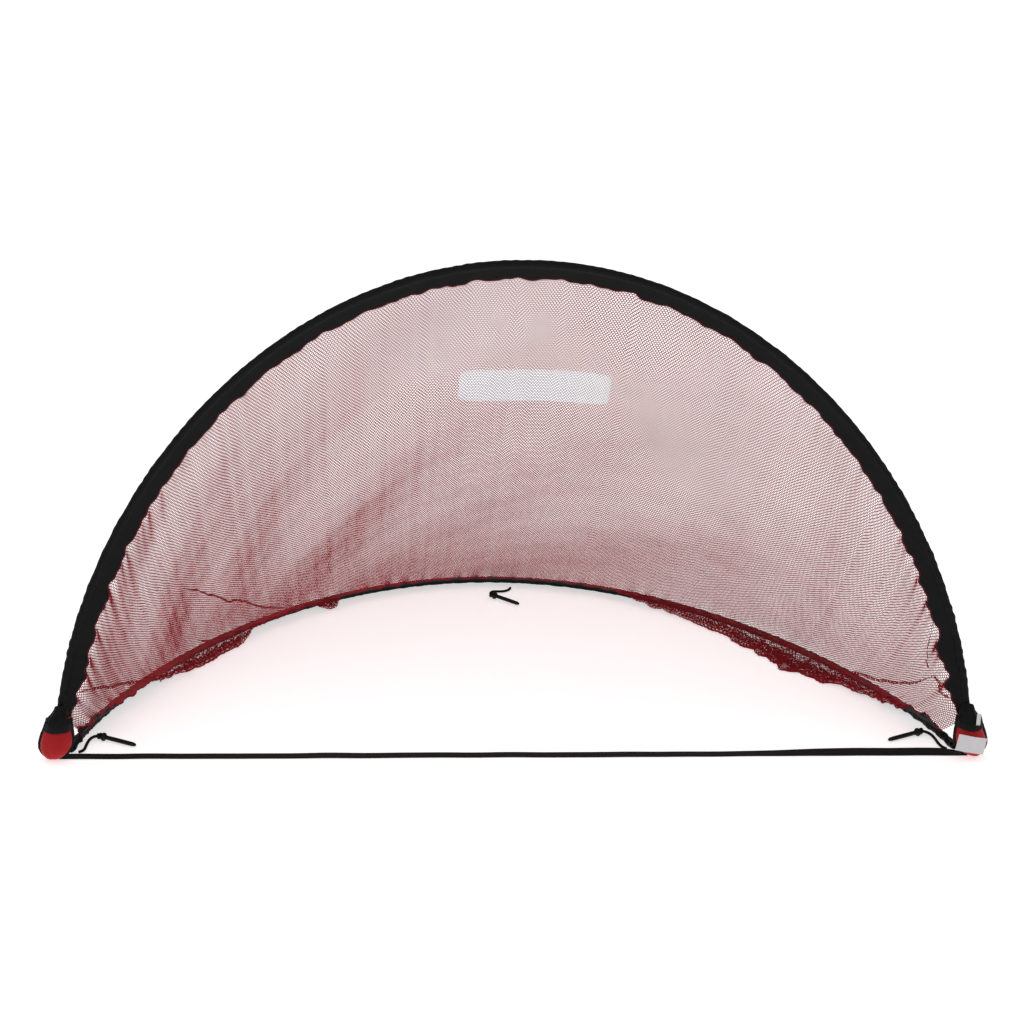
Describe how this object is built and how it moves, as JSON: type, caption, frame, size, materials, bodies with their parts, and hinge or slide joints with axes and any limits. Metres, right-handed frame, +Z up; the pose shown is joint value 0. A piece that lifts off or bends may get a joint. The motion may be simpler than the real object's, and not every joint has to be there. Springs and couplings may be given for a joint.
{
  "type": "pop-up training goal",
  "caption": "Half-moon training goal with a sleeved arch hoop that folds down onto a ground hoop, a mesh net between them, a goal-line strap, corner pouches and tethered ground pegs.",
  "frame": {"origin": "middle of the goal line, on the underside of the floor strap, level with the ground", "axes": "+X along the goal line to the right as seen from in front of the goal, +Y towards the back of the goal, +Z up"},
  "size_m": [1.854, 1.1116, 0.9572],
  "materials": {
    "sleeve_nylon": "matt black nylon with a slight sheen",
    "net_polyester": "open hexagonal red polyester mesh",
    "pouch_nylon": "woven red nylon",
    "webbing": "ribbed black polypropylene webbing and cord",
    "rod_fibreglass": "smooth dark fibreglass",
    "ferrule_steel": "plated steel tube",
    "cap_plastic": "moulded black plastic",
    "peg_plastic": "moulded black plastic",
    "label_satin": "white satin ribbon"
  },
  "bodies": {
    "base": {"base_sleeve": "sleeve_nylon", "base_rod_left": "rod_fibreglass", "base_rod_right": "rod_fibreglass", "base_ferrule": "ferrule_steel", "base_rod_cap_left": "cap_plastic", "base_rod_cap_right": "cap_plastic", "net": "net_polyester", "corner_pocket_left": "pouch_nylon", "corner_pocket_right": "pouch_nylon", "pocket_binding_left": "webbing", "pocket_binding_right": "webbing", "pocket_band_left": "webbing", "pocket_band_right": "webbing", "floor_strap": "webbing", "tether_left": "webbing", "tether_right": "webbing", "tether_back": "webbing", "ground_peg_left": "peg_plastic", "ground_peg_right": "peg_plastic", "ground_peg_back": "peg_plastic", "care_label": "label_satin", "size_tag": "label_satin"},
    "arch": {"arch_sleeve": "sleeve_nylon", "arch_rod_left": "rod_fibreglass", "arch_rod_right": "rod_fibreglass", "arch_ferrule": "ferrule_steel", "arch_rod_cap_left": "cap_plastic", "arch_rod_cap_right": "cap_plastic"}
  },
  "joints": [
    {"name": "arch_fold", "type": "hinge", "parent": "base", "child": "arch", "pos_m": [0, 0, 0.02], "axis": [-1, 0, 0], "range_deg": [0, 78], "stiffness_Nm_per_rad": 1.5, "springref_deg": -51.57, "deforming": ["net"]}
  ]
}
